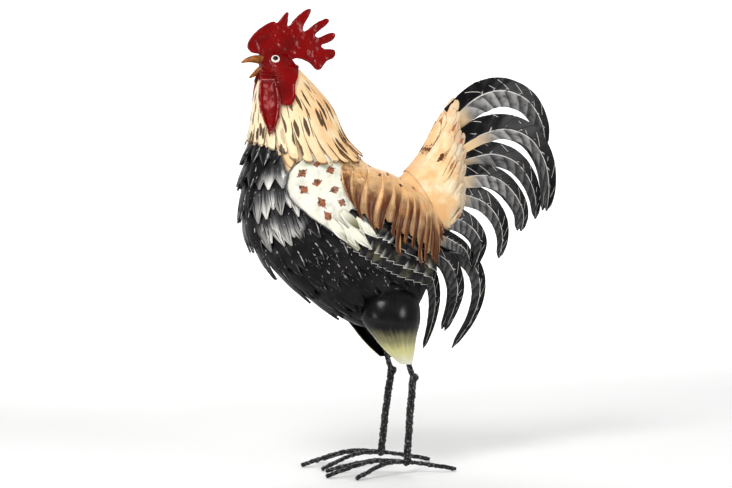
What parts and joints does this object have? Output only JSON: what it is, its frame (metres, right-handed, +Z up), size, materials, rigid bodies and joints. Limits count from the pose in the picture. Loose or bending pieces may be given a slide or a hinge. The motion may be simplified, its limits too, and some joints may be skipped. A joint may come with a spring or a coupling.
{
  "type": "rooster sculpture",
  "caption": "Standing garden rooster of cut, creased and painted sheet metal feathers with a fanned tail, on rod legs with splayed toes.",
  "frame": {"origin": "middle of the box round the whole bird, on the ground under its toes", "axes": "+Z up, -X the way the bird faces, -Y the bird's left side"},
  "size_m": [0.4446, 0.1726, 0.6102],
  "materials": {
    "body": "semi-gloss sprayed paint",
    "breast": "semi-gloss sprayed paint",
    "red": "glossy enamel",
    "eye": "glossy enamel",
    "horn": "semi-gloss sprayed paint",
    "hackle": "semi-gloss sprayed paint",
    "panel": "semi-gloss sprayed paint",
    "wing": "semi-gloss sprayed paint",
    "saddle": "semi-gloss sprayed paint",
    "tail": "semi-gloss sprayed paint",
    "sickle": "semi-gloss sprayed paint",
    "thigh": "semi-gloss sprayed paint",
    "rod": "rough weld-beaded paint"
  },
  "bodies": {
    "root": {"beak_lower": "horn", "beak_upper": "horn", "body": "body", "breast_row_1": "breast", "breast_row_2": "breast", "breast_row_3": "breast", "breast_row_4": "breast", "breast_row_5": "breast", "breast_row_6": "breast", "breast_row_7": "breast", "breast_row_8": "breast", "comb": "red", "eye_left": "eye", "eye_right": "eye", "face_left": "red", "face_right": "red", "hackle_cape": "hackle", "leg_left": "rod", "leg_right": "rod", "saddle_left": "saddle", "saddle_right": "saddle", "sickle_left_1": "sickle", "sickle_left_10": "sickle", "sickle_left_2": "sickle", "sickle_left_3": "sickle", "sickle_left_4": "sickle", "sickle_left_5": "sickle", "sickle_left_6": "sickle", "sickle_left_7": "sickle", "sickle_left_8": "sickle", "sickle_left_9": "sickle", "sickle_right_1": "sickle", "sickle_right_10": "sickle", "sickle_right_2": "sickle", "sickle_right_3": "sickle", "sickle_right_4": "sickle", "sickle_right_5": "sickle", "sickle_right_6": "sickle", "sickle_right_7": "sickle", "sickle_right_8": "sickle", "sickle_right_9": "sickle", "tail_base": "tail", "tail_cover_left": "tail", "tail_cover_right": "tail", "thigh_left": "thigh", "thigh_right": "thigh", "wattle_left": "red", "wattle_right": "red", "wing_blade_left_1": "wing", "wing_blade_left_2": "wing", "wing_blade_left_3": "wing", "wing_blade_right_1": "wing", "wing_blade_right_2": "wing", "wing_blade_right_3": "wing", "wing_shoulder_left": "panel", "wing_shoulder_right": "panel"}
  },
  "joints": []
}
